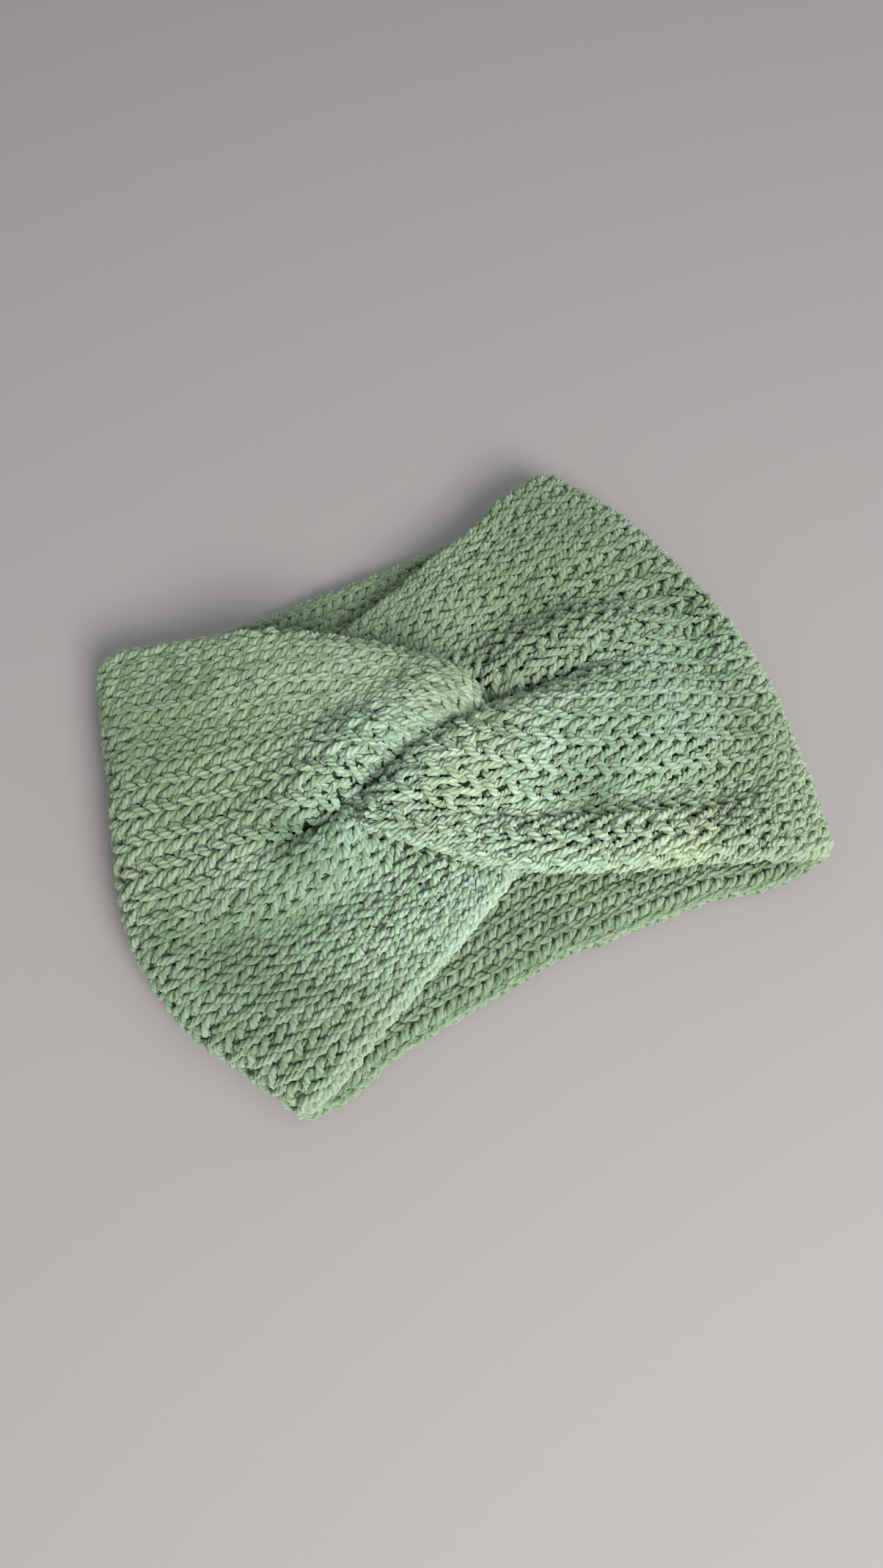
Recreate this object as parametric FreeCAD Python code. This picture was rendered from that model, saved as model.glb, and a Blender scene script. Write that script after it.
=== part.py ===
"""Knotted headband: a knitted tube worn as a flat double band, its two ends folded in half,
hooked through each other and sewn, so that the front carries a turban twist.

The band lies flat, as when stored: the back panel on the table, the two ends bending up and over,
and the front panel with the knot on top. Millimetres, +X along the flat loop, +Y across the band,
+Z up. The origin is at the middle of the underside of the bounding box.
"""
import FreeCAD
import Part
import math
import os

V = FreeCAD.Vector

# Driving dimensions
LOOP_LENGTH = 216.0     # flat loop, from the middle of one bent end to the other
BAND_WIDTH = 170.0      # across the band, the length of each bent end
END_BOW = 22.0          # how far a bent end bows out past its own corners
BAND_THICKNESS = 9.0    # the flattened tube: two knitted layers
HEAD_GAP = 4.6          # clear height inside the loop when it lies flat
LOBE_THICKNESS = 10.6   # the upper lobes are puffed up a little by what they fold over
END_DEPTH = 10.0        # the bent strip that joins back and front, seen from above
SHOULDER_X = 66.0       # where the shoulders end and the lobes and wings begin
CLEARANCE = 0.3         # between solids of the back body and the front body
LAYER_PLAY = 0.2        # between a lobe and the wing it lies on
YARN_RADIUS = 1.2       # the knitting and sewing yarn

# Heights of the layers
FRONT_LOW = BAND_THICKNESS + HEAD_GAP
FRONT_TOP = FRONT_LOW + BAND_THICKNESS
LOBE_LOW = FRONT_TOP + LAYER_PLAY
LOBE_TOP = LOBE_LOW + LOBE_THICKNESS

# Plan positions that the knot is built from
KNOT_CENTRE = (-12.0, 3.0)
RAMP_FOOT = 54.0        # distance from the knot's centre where a lobe starts to climb
RAMP_HEAD = 24.0        # and where it lies fully on top of the wing below

# The crease in which both lobes dive, from its upper right end to the pit at its lower left end
CREASE = [(14.0, 6.0), (-1.0, 1.0), (-19.0, -3.0), (-41.0, -8.0)]
PIT = [(-58.0, -13.0), (-SHOULDER_X, -14.0)]
VALLEY = [(25.0, 8.0), (45.0, 4.0), (SHOULDER_X, 2.0)]

# Free edges of the four regions, each from its shoulder towards the knot
UPPER_LEFT_EDGE = [(-SHOULDER_X, 73.0), (-50.0, 65.0), (-33.0, 56.0), (-16.0, 43.0), (0.0, 26.0)]
LOWER_LEFT_EDGE = [(-SHOULDER_X, -72.0), (-41.0, -64.0), (-18.0, -54.0), (0.0, -43.0), (11.0, -24.0)]
LOWER_RIGHT_EDGE = [(SHOULDER_X, -74.0), (42.0, -64.0), (14.0, -52.0), (-9.0, -37.0), (-27.0, -19.0)]
UPPER_RIGHT_EDGE = [(SHOULDER_X, 78.0), (33.0, 68.0), (6.0, 58.0), (-17.0, 46.0), (-34.0, 26.0)]

# The gathered ends of the tube, inside the knot
CORE_LENGTH = 46.0
CORE_WIDTH = 22.0
CORE_TILT = 13.0        # degrees, along the crease
CORE_TOP = LOBE_LOW + 4.0

# Sewing and woven-in ends, all on the side that faces the head
STITCHES = 7
STITCH_PITCH = 5.6
STITCH_REACH = 13.0
TAIL_LENGTH = 44.0
TAIL_OFFSET = (-38.0, -34.0)


def spline(points, z=0.0):
    """A smooth edge through plan points."""
    curve = Part.BSplineCurve()
    curve.interpolate([V(x, y, z) for x, y in points])
    return curve.toShape()


def straights(points, z=0.0):
    """Straight edges through plan points."""
    ends = [V(x, y, z) for x, y in points]
    return [Part.LineSegment(a, b).toShape() for a, b in zip(ends, ends[1:])]


def prism(edges, low, high):
    """A closed plan outline drawn at height 0, raised from low to high."""
    face = Part.Face(Part.Wire(Part.__sortEdges__(edges)))
    solid = face.extrude(V(0, 0, high - low))
    solid.translate(V(0, 0, low))
    return solid


def bow(side, inset):
    """The bowed edge of one end. side is -1 at the left and 1 at the right; inset moves it inwards."""
    corner_x = side * (LOOP_LENGTH / 2 - END_BOW - inset)
    half = BAND_WIDTH / 2
    low, middle, high = V(corner_x, -half, 0), V(corner_x + side * END_BOW, 0, 0), V(corner_x, half, 0)
    return Part.Arc(low, middle, high).toShape()


def ends_of(edge):
    """The plan positions of an edge's two ends, lowest y first."""
    return sorted(((v.X, v.Y) for v in edge.Vertexes), key=lambda p: p[1])


def back_panel():
    """The back of the flat loop, lying on the table, with rounded long edges."""
    left, right = bow(-1, END_DEPTH), bow(1, END_DEPTH)
    (low_left, high_left), (low_right, high_right) = ends_of(left), ends_of(right)
    edges = [left, right] + straights([low_left, low_right]) + straights([high_left, high_right])
    panel = prism(edges, 0.0, BAND_THICKNESS)
    long_edges = [e for e in panel.Edges if e.BoundBox.YLength < 1e-6 and e.BoundBox.XLength > BAND_WIDTH / 2]
    return panel.makeFillet(BAND_THICKNESS / 2 - 0.2, long_edges)


def end_fold(side):
    """One bent end: the strip that turns up from the back panel and over to the front."""
    outer, inner = bow(side, 0.0), bow(side, END_DEPTH)
    (outer_low, outer_high), (inner_low, inner_high) = ends_of(outer), ends_of(inner)
    edges = [outer, inner] + straights([outer_low, inner_low]) + straights([outer_high, inner_high])
    strip = prism(edges, 0.0, FRONT_TOP)
    reach = LOOP_LENGTH / 2 - 0.5
    rims = [e for e in strip.Edges if e.BoundBox.ZLength < 1e-6 and e.BoundBox.YLength > BAND_WIDTH / 2]
    rims = [e for e in rims if max(abs(e.BoundBox.XMin), abs(e.BoundBox.XMax)) > reach]
    return strip.makeFillet(END_DEPTH - 1.5, rims)


def shoulder(side, low_y, high_y):
    """The part of the front between a bent end and the knot's lobes, which bends when the loop opens."""
    outer = bow(side, END_DEPTH + CLEARANCE)
    (low_x, low_end), (high_x, high_end) = ends_of(outer)
    inner_x = side * SHOULDER_X
    sides = straights([(low_x, low_end), (inner_x, low_y), (inner_x, high_y), (high_x, high_end)])
    return prism([outer] + sides, FRONT_LOW, FRONT_TOP)


def lobe(free_edge, seam_edges, ramp_side):
    """An upper lobe: its plan outline, climbing a ramp from the band onto the wing below it."""
    outline = prism([free_edge] + seam_edges, 0.0, LOBE_TOP + 1)
    foot = KNOT_CENTRE[0] + ramp_side * RAMP_FOOT
    head = KNOT_CENTRE[0] + ramp_side * RAMP_HEAD
    start = ramp_side * SHOULDER_X
    far = KNOT_CENTRE[0] - ramp_side * RAMP_FOOT
    profile = [(start, FRONT_LOW), (foot, FRONT_LOW), (head, LOBE_LOW), (far, LOBE_LOW),
               (far, LOBE_TOP), (head, LOBE_TOP), (foot, FRONT_TOP), (start, FRONT_TOP)]
    if abs(foot - start) < 1e-6:
        profile = profile[1:-1]
    corners = [V(x, -BAND_WIDTH, z) for x, z in profile]
    ramp = Part.Face(Part.makePolygon(corners + corners[:1])).extrude(V(0, 2 * BAND_WIDTH, 0))
    return outline.common(ramp)


def upper_left_lobe():
    free = spline(UPPER_LEFT_EDGE + CREASE[:1])
    seam = straights(CREASE + PIT + UPPER_LEFT_EDGE[:1])
    return lobe(free, seam, -1)


def lower_right_lobe():
    free = spline(LOWER_RIGHT_EDGE + CREASE[-1:])
    seam = straights(CREASE[::-1] + VALLEY + LOWER_RIGHT_EDGE[:1])
    return lobe(free, seam, 1)


def lower_left_wing():
    """The left band's lower half, which slides under the lower right lobe."""
    tip = (11.0, 5.0)
    free = spline(LOWER_LEFT_EDGE)
    seam = straights([LOWER_LEFT_EDGE[-1], tip] + CREASE[1:] + PIT + LOWER_LEFT_EDGE[:1])
    return prism([free] + seam, FRONT_LOW, FRONT_TOP)


def upper_right_wing():
    """The right band's upper half, which slides under the upper left lobe."""
    tip = (-35.0, -6.6)
    free = spline(UPPER_RIGHT_EDGE)
    seam = straights([UPPER_RIGHT_EDGE[-1], tip] + CREASE[-2::-1] + VALLEY + UPPER_RIGHT_EDGE[:1])
    return prism([free] + seam, FRONT_LOW, FRONT_TOP)


def gathered_ends():
    """The sewn, gathered ends of the tube, hidden inside the knot."""
    ellipse = Part.Ellipse(V(0, 0, 0), CORE_LENGTH / 2, CORE_WIDTH / 2).toShape()
    core = Part.Face(Part.Wire([ellipse])).extrude(V(0, 0, CORE_TOP - FRONT_LOW))
    core.rotate(V(0, 0, 0), V(0, 0, 1), CORE_TILT)
    core.translate(V(KNOT_CENTRE[0], KNOT_CENTRE[1], FRONT_LOW))
    return core


def yarn_piece(centre, length, angle):
    """A straight length of yarn with rounded ends, lying just inside the face towards the head."""
    core = Part.makeCylinder(YARN_RADIUS, length, V(-length / 2, 0, 0), V(1, 0, 0))
    for end in (-length / 2, length / 2):
        core = core.fuse(Part.makeSphere(YARN_RADIUS, V(end, 0, 0)))
    core = core.removeSplitter()
    core.rotate(V(0, 0, 0), V(0, 0, 1), angle)
    core.translate(V(centre[0], centre[1], FRONT_LOW + YARN_RADIUS))
    return core


def seam_stitches():
    """The row of overcast stitches that closes the knot, side by side along the crease."""
    along = V(math.cos(math.radians(CORE_TILT)), math.sin(math.radians(CORE_TILT)), 0)
    stitches = []
    for i in range(STITCHES):
        shift = (i - (STITCHES - 1) / 2) * STITCH_PITCH
        centre = (KNOT_CENTRE[0] + along.x * shift, KNOT_CENTRE[1] + along.y * shift)
        stitches.append(yarn_piece(centre, STITCH_REACH, CORE_TILT + 72.0))
    return stitches


def tail(side):
    """A yarn end woven in along the band, on the left wing or, turned about the knot, on the right one."""
    x = KNOT_CENTRE[0] - side * (TAIL_OFFSET[0] - KNOT_CENTRE[0])
    y = KNOT_CENTRE[1] - side * (TAIL_OFFSET[1] - KNOT_CENTRE[1])
    return yarn_piece((x, y), TAIL_LENGTH, CORE_TILT)


def build():
    """Every region and yarn piece of the headband, by node name."""
    core = gathered_ends()
    stitches = seam_stitches()
    tails = {"cast_on_tail": tail(-1), "bind_off_tail": tail(1)}
    yarn = stitches + list(tails.values())
    nodes = {
        "back_panel": back_panel(),
        "left_end_fold": end_fold(-1),
        "right_end_fold": end_fold(1),
        "left_shoulder": shoulder(-1, LOWER_LEFT_EDGE[0][1], UPPER_LEFT_EDGE[0][1]),
        "right_shoulder": shoulder(1, LOWER_RIGHT_EDGE[0][1], UPPER_RIGHT_EDGE[0][1]),
        "upper_left_lobe": upper_left_lobe().cut(core),
        "lower_right_lobe": lower_right_lobe().cut(core),
        "lower_left_wing": lower_left_wing().cut(core),
        "upper_right_wing": upper_right_wing().cut(core),
        "knot_gathered_ends": core,
    }
    for name in ("lower_left_wing", "upper_right_wing", "knot_gathered_ends"):
        nodes[name] = nodes[name].cut(yarn)
    nodes["knot_seam_stitches"] = Part.makeCompound(stitches)
    nodes.update(tails)
    return nodes


def main():
    os.makedirs("parts", exist_ok=True)
    for name, shape in build().items():
        shape.exportStep("parts/" + name + ".step")
        box = shape.BoundBox
        print("%-20s solids %d  valid %s  volume %.0f  box %.1f %.1f %.1f to %.1f %.1f %.1f"
              % (name, len(shape.Solids), shape.isValid(), shape.Volume,
                 box.XMin, box.YMin, box.ZMin, box.XMax, box.YMax, box.ZMax))


main()
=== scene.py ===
"""Knotted headband: the visual model, knitted stitch by stitch.

One tube of stockinette, 48 wales round, runs from its cast-on end inside the knot along the left front,
round the left end, across the back, round the right end and along the right front to its bind-off end
inside the knot. Its flattened middle surface is laid out along guide wales, and every stitch is a loop of
yarn placed on that surface. Stitches that the knot hides are left out, and a bundle of strands stands for
them. Lengths are in millimetres until a mesh is made.
"""

import math
import bpy
import numpy as np
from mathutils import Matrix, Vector


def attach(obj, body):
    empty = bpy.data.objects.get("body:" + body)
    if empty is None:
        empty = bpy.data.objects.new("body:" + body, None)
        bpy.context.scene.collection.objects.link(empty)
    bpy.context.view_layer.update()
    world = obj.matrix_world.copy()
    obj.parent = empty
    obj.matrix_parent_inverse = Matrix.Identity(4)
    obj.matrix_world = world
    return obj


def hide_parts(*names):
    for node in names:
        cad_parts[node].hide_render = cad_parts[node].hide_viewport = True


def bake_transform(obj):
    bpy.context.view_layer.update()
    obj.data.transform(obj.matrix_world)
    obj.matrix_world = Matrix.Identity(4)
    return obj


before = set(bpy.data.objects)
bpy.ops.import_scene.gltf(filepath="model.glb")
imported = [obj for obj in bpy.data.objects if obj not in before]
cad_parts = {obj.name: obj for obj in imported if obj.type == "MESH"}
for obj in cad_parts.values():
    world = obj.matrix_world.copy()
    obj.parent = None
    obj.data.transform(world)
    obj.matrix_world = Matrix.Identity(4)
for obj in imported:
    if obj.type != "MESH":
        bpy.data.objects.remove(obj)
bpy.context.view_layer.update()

MM = 0.001
rng = np.random.RandomState(11)

# ---------------------------------------------------------------- camera, light, floor
TARGET = Vector((-2.2, -3.7, 0.0)) * MM
DISTANCE = 366.3 * MM
AZIMUTH = math.radians(-27.0)
ELEVATION = math.radians(66.0)
SENSOR = 36.0
LENS = 25.94


def from_target(azimuth, elevation, distance):
    """A point seen from the target at that azimuth and elevation."""
    flat = math.cos(elevation)
    return TARGET + distance * Vector(
        (math.sin(azimuth) * flat, -math.cos(azimuth) * flat, math.sin(elevation))
    )


def aim(obj, at):
    """Turns a lamp or camera towards a point."""
    obj.rotation_euler = (at - obj.location).to_track_quat("-Z", "Y").to_euler()


scene = bpy.context.scene
camera = bpy.data.objects.new("camera", bpy.data.cameras.new("camera"))
scene.collection.objects.link(camera)
camera.location = from_target(AZIMUTH, ELEVATION, DISTANCE)
aim(camera, TARGET)
camera.data.sensor_width = SENSOR
camera.data.lens = LENS
camera.data.clip_start = 0.01
scene.camera = camera
scene.view_settings.view_transform = "Standard"


def softbox(name, azimuth, elevation, distance, size, watts, colour):
    """A round soft lamp, by its direction in degrees, and its distance and size in metres."""
    lamp = bpy.data.lights.new(name, "AREA")
    lamp.shape = "DISK"
    lamp.size = size
    lamp.energy = watts
    lamp.color = colour
    obj = bpy.data.objects.new(name, lamp)
    scene.collection.objects.link(obj)
    obj.location = from_target(math.radians(azimuth), math.radians(elevation), distance)
    aim(obj, TARGET)
    return obj


softbox("key_light", 2, 40, 1.2, 0.6, 18.8, (1.0, 0.98, 0.975))
softbox("fill_light", 50, 60, 1.5, 0.9, 3.0, (0.95, 0.98, 1.0))

world = bpy.data.worlds.new("studio")
scene.world = world
world.use_nodes = True
world.node_tree.nodes["Background"].inputs["Color"].default_value = (0.93, 0.965, 1.0, 1.0)
world.node_tree.nodes["Background"].inputs["Strength"].default_value = 0.50


# ---------------------------------------------------------------- materials
def new_material(name):
    material = bpy.data.materials.new(name)
    material.use_nodes = True
    tree = material.node_tree
    return material, tree, tree.nodes["Principled BSDF"]


def maths(tree, operation, a, b=None, c=None):
    node = tree.nodes.new("ShaderNodeMath")
    node.operation = operation
    for socket, value in zip(node.inputs, (a, b, c)):
        if value is None:
            continue
        if isinstance(value, (int, float)):
            socket.default_value = value
        else:
            tree.links.new(value, socket)
    return node.outputs[0]


def mixed(tree, factor, a, b, blend="MIX"):
    node = tree.nodes.new("ShaderNodeMix")
    node.data_type = "RGBA"
    node.blend_type = blend
    for socket, value in ((node.inputs[0], factor), (node.inputs[6], a), (node.inputs[7], b)):
        if isinstance(value, (int, float)):
            socket.default_value = value
        elif isinstance(value, tuple):
            socket.default_value = (*value, 1.0)
        else:
            tree.links.new(value, socket)
    return node.outputs[2]


def noise(tree, vector, scale, detail=2.0, rough=0.5):
    node = tree.nodes.new("ShaderNodeTexNoise")
    node.inputs["Scale"].default_value = scale
    node.inputs["Detail"].default_value = detail
    node.inputs["Roughness"].default_value = rough
    if vector is not None:
        tree.links.new(vector, node.inputs["Vector"])
    return node.outputs["Fac"]


def ramp(tree, value, stops):
    node = tree.nodes.new("ShaderNodeValToRGB")
    while len(node.color_ramp.elements) < len(stops):
        node.color_ramp.elements.new(0.5)
    for element, (place, level) in zip(node.color_ramp.elements, stops):
        element.position = place
        element.color = (*level, 1.0) if isinstance(level, tuple) else (level, level, level, 1.0)
    tree.links.new(value, node.inputs[0])
    return node.outputs[0]


SAGE = (0.610, 0.740, 0.575)
MINT = (0.585, 0.800, 0.675)
OLIVE = (0.645, 0.740, 0.495)
# Deep green for the yarn's own darker stretches and for painted shade
DEEP_YARN_AND_PAINTED_SHADE = (0.085, 0.150, 0.065)
PLIES = 3
PLY_PITCH = 1.95    # mm along the yarn from one ply to the next
YARN_UV = 100.0     # mm of yarn to one unit of its UV
# How finely each noise changes, along the yarn and from ply to ply or round it
STRAND_GRAIN = (0.22, 7.3)
FIBRE_GRAIN = (0.9, 2.6)
# How each noise becomes a share of pale yarn: the gain, and what is added
STRAND_CONTRAST = (2.6, -0.66)
FIBRE_CONTRAST = (2.1, -0.22)
# The shade between the plies, and the yarn's levels from its darkest fibres to its palest
PLY_SHADE = [(0.0, 0.55), (0.6, 0.86), (1.0, 1.0)]
YARN_LEVELS = [
    (0.12, (0.25, 0.32, 0.185)),
    (0.42, (0.53, 0.575, 0.48)),
    (0.68, (0.71, 0.73, 0.69)),
    (0.95, (0.81, 0.81, 0.82)),
]
# Painted shade inside the tube, from its deepest to its palest
SHADE_SHEET_DEEP = (0.016, 0.027, 0.011)
SHADE_SHEET_PALE = (0.038, 0.062, 0.026)


def yarn_material():
    """Soft plied yarn in drifting greens, with painted shade and painted light in its tints. The tints come
    with the mesh, and the plies from its UVs.
    """
    material, tree, shader = new_material("variegated_yarn")
    uv = tree.nodes.new("ShaderNodeUVMap")
    uv.uv_map = "yarn"
    split = tree.nodes.new("ShaderNodeSeparateXYZ")
    tree.links.new(uv.outputs[0], split.inputs[0])
    run = maths(tree, "MULTIPLY", split.outputs[0], YARN_UV)
    phase = maths(tree, "MULTIPLY", split.outputs[1], PLIES)
    ply = maths(tree, "ABSOLUTE", maths(tree, "COSINE", maths(tree, "MULTIPLY", phase, math.pi)))
    which = maths(tree, "FLOORED_MODULO", maths(tree, "FLOOR", maths(tree, "ADD", phase, 0.5)), PLIES)
    strand = tree.nodes.new("ShaderNodeCombineXYZ")
    tree.links.new(maths(tree, "MULTIPLY", run, STRAND_GRAIN[0]), strand.inputs[0])
    tree.links.new(maths(tree, "MULTIPLY", which, STRAND_GRAIN[1]), strand.inputs[1])
    strand_tint = noise(tree, strand.outputs[0], 1.0, 2.0, 0.6)

    tint = tree.nodes.new("ShaderNodeAttribute")
    tint.attribute_name = "shade"
    parts = tree.nodes.new("ShaderNodeSeparateColor")
    tree.links.new(tint.outputs["Color"], parts.inputs[0])

    along = tree.nodes.new("ShaderNodeCombineXYZ")
    tree.links.new(maths(tree, "MULTIPLY", run, FIBRE_GRAIN[0]), along.inputs[0])
    tree.links.new(maths(tree, "MULTIPLY", phase, FIBRE_GRAIN[1]), along.inputs[1])
    fibres = noise(tree, along.outputs[0], 2.4, 3.0, 0.7)

    colour = mixed(tree, parts.outputs[0], SAGE, MINT)
    colour = mixed(tree, parts.outputs[1], colour, OLIVE)
    pale = maths(tree, "MULTIPLY_ADD", strand_tint, *STRAND_CONTRAST)
    pale = maths(tree, "MULTIPLY", pale, maths(tree, "MULTIPLY_ADD", fibres, *FIBRE_CONTRAST))
    pale = maths(tree, "MULTIPLY", pale, ramp(tree, ply, PLY_SHADE))
    colour = mixed(tree, 1.0, colour, ramp(tree, pale, YARN_LEVELS), "MULTIPLY")
    # The dark share: the yarn's darker stretches, and painted shade and painted light from where it lies
    colour = mixed(tree, parts.outputs[2], colour, DEEP_YARN_AND_PAINTED_SHADE)
    tree.links.new(colour, shader.inputs["Base Color"])

    shader.inputs["Roughness"].default_value = 0.88
    shader.inputs["Specular IOR Level"].default_value = 0.25
    shader.inputs["Subsurface Weight"].default_value = 0.5
    shader.inputs["Subsurface Radius"].default_value = (0.8, 1.0, 0.6)
    shader.inputs["Subsurface Scale"].default_value = 0.0015
    shader.inputs["Sheen Weight"].default_value = 0.55
    shader.inputs["Sheen Roughness"].default_value = 0.55
    shader.inputs["Sheen Tint"].default_value = (0.80, 0.95, 0.78, 1.0)

    bump = tree.nodes.new("ShaderNodeBump")
    bump.inputs["Strength"].default_value = 0.7
    bump.inputs["Distance"].default_value = 0.0005
    height = maths(tree, "MULTIPLY_ADD", fibres, 0.8, maths(tree, "POWER", ply, 0.6))
    tree.links.new(height, bump.inputs["Height"])
    tree.links.new(bump.outputs[0], shader.inputs["Normal"])
    return material


def inside_material():
    """What shows between the stitches: painted shade, a near-black green sheet where the inside of the tube
    lies in the dark.
    """
    material, tree, shader = new_material("painted_shade_inside_tube")
    place = tree.nodes.new("ShaderNodeTexCoord")
    grain = noise(tree, place.outputs["Object"], 900.0, 3.0, 0.6)
    tree.links.new(mixed(tree, grain, SHADE_SHEET_DEEP, SHADE_SHEET_PALE), shader.inputs["Base Color"])
    shader.inputs["Roughness"].default_value = 0.95
    shader.inputs["Specular IOR Level"].default_value = 0.1
    bump = tree.nodes.new("ShaderNodeBump")
    bump.inputs["Distance"].default_value = 0.0008
    tree.links.new(grain, bump.inputs["Height"])
    tree.links.new(bump.outputs[0], shader.inputs["Normal"])
    return material


def floor_material():
    material, tree, shader = new_material("pale_floor")
    shader.inputs["Base Color"].default_value = (0.335, 0.315, 0.307, 1.0)
    shader.inputs["Roughness"].default_value = 0.9
    shader.inputs["Specular IOR Level"].default_value = 0.1
    return material


yarn = yarn_material()
inside = inside_material()

FLOOR_HALF = 3.0        # in metres, and how far it lies under the yarn
FLOOR_DROP = 0.0002
floor_corners = [(x * FLOOR_HALF, y * FLOOR_HALF, 0) for x, y in ((-1, -1), (1, -1), (1, 1), (-1, 1))]
floor_mesh = bpy.data.meshes.new("floor")
floor_mesh.from_pydata(floor_corners, [], [(0, 1, 2, 3)])
floor_mesh.materials.append(floor_material())
floor = bpy.data.objects.new("floor", floor_mesh)
scene.collection.objects.link(floor)
floor.location.z = -FLOOR_DROP


# ---------------------------------------------------------------- curves
def smooth(knots, values, at):
    """Values at any places on the smooth curve through values at knots, along the first axis."""
    knots, values, at = (np.asarray(a, float) for a in (knots, values, at))
    shape = (-1,) + (1,) * (values.ndim - 1)
    gaps = np.diff(knots)
    g = gaps.reshape(shape)
    slopes = np.diff(values, axis=0) / g
    inner = (slopes[:-1] * g[1:] + slopes[1:] * g[:-1]) / (g[:-1] + g[1:])
    tangents = np.concatenate([slopes[:1], inner, slopes[-1:]])
    k = np.clip(np.searchsorted(knots, at, side="right") - 1, 0, len(gaps) - 1)
    gap = gaps[k].reshape(shape)
    u = ((at - knots[k]) / gaps[k]).reshape(shape)
    return (
        (2 * u**3 - 3 * u**2 + 1) * values[k]
        + (u**3 - 2 * u**2 + u) * gap * tangents[k]
        + (3 * u**2 - 2 * u**3) * values[k + 1]
        + (u**3 - u**2) * gap * tangents[k + 1]
    )


def lengths(points):
    return np.concatenate([[0], np.cumsum(np.linalg.norm(np.diff(points, axis=0), axis=1))])


def at_length(points, places):
    """Points at arc lengths along a dense polyline, going straight on past its end."""
    run = lengths(points)
    found = np.stack([np.interp(places, run, points[:, i]) for i in range(3)], axis=1)
    on = np.maximum(np.asarray(places) - run[-1], 0)[:, None]
    last = points[-1] - points[-4]
    return found + on * last / np.linalg.norm(last)


def step(x, low, high):
    u = np.clip((x - low) / (high - low), 0, 1)
    return u * u * (3 - 2 * u)


# ---------------------------------------------------------------- the band's middle surface
BACK_Z = 4.5
FOLD_Z = 16.0
FOLD_IN = 11.3      # from the outermost yarn of a bent end to where it starts to bend
WALES = 48
WALES_OPEN = 24

# Where the bent ends reach, as (y, x)
LEFT_END = [(-86, -84.5), (-78, -87.5), (-70, -91.5), (-60, -97), (-44, -106), (-22, -111.5), (-3, -110.5),
            (19, -105), (40, -99), (62, -93), (73, -90), (84, -87)]
RIGHT_END = [(-87, 90), (-82, 93.5), (-73, 96.5), (-59, 100), (-46, 103.5), (-32, 107), (-15, 109.5),
             (2, 109.5), (19, 107), (43, 102.5), (65, 94), (75, 88), (84, 84)]

# The back's edges, as (x, y)
BACK_TOP = [(-95, 73), (-78, 73.5), (-60, 74), (-36, 72.5), (0, 71.5), (31, 70.5), (50, 71.5),
            (70, 75), (95, 76)]
BACK_LOW = [(-95, -79), (-78, -77), (-70, -75.6), (-59, -73.3), (-38, -71.2), (-17, -70.1), (-7, -69.2),
            (3, -68.2), (9, -68.6), (14, -70.1), (35, -71.6), (56, -74), (66, -77), (77, -80), (95, -82.5)]

# Guide wales of the front halves: position across the band, the wale from the bent end to the last point
# that can be seen, and the points that it goes down through
LEFT_GUIDES = [
    (1.0, [(-76, 75, 16), (-66, 70.5, 17.5), (-54, 64.5, 20.5), (-40, 56.5, 24), (-20, 42.5, 26.5),
           (0, 26.5, 27), (9, 15, 26.5), (12.5, 8, 24)],
     [(12, 3, 17)]),
    (0.75, [(-86, 60.5, 16), (-60, 51.5, 20.5), (-40, 43, 25), (-25, 34, 27), (-10, 22.5, 28),
            (2.8, 8.8, 28)],
     [(4, 5.3, 16.5)]),
    (0.5, [(-92, 44, 16), (-70, 36.5, 19.5), (-45, 27.5, 24), (-28, 20.5, 25.5), (-14, 13, 27.5),
           (-7.4, 4.6, 28)],
     [(-7, 1.6, 16.5)]),
    (0.315, [(-95, 29.5, 16), (-70, 22, 19.5), (-50, 15.5, 23), (-34, 11, 26), (-21, 3.3, 28)],
     [(-19, -0.4, 16.5)]),
    (0.17, [(-97, 15, 16), (-75, 8.5, 19), (-55, 3, 22.5), (-38.5, -1.8, 25)], [(-34, -5, 16.5)]),
    (0.07, [(-98, 5, 16), (-75, -0.5, 19), (-60, -4, 21.5), (-50, -6, 22)], [(-45, -9, 15.5)]),
    (0.01, [(-98, -1.5, 16), (-78, -6, 18.5), (-62, -9.5, 19.5)], [(-55, -11.5, 14.5)]),
    (-0.065, [(-98, -8, 16), (-75, -12, 18.5), (-62, -13.5, 20.5), (-50, -13, 21), (-42, -10.5, 19)],
     [(-38, -7, 14.5)]),
    (-0.23, [(-98, -20, 16), (-75, -22.5, 19), (-58, -21.5, 21.5), (-45, -18, 22), (-36, -12, 20)],
     [(-28, -6, 15)]),
    (-0.375, [(-97, -31, 16), (-70, -30.5, 18), (-50, -27, 18.5), (-36, -23, 18)], [(-24, -15, 15)]),
    (-0.6, [(-92, -46, 16), (-65, -43.5, 17.5), (-40, -39, 18), (-20, -33, 17.5)], [(-5, -22, 15)]),
    (-0.8, [(-86, -61, 16), (-60, -56, 17), (-35, -49.5, 17.5), (-12, -41, 17.2)], [(5, -29, 15.5)]),
    (-1.0, [(-76, -77.2, 16), (-60, -69.8, 16.5), (-41, -62, 16.5), (-20, -53.5, 16.8),
            (0, -43.5, 16.5)],
     [(12, -32, 15.5)]),
]
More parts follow.
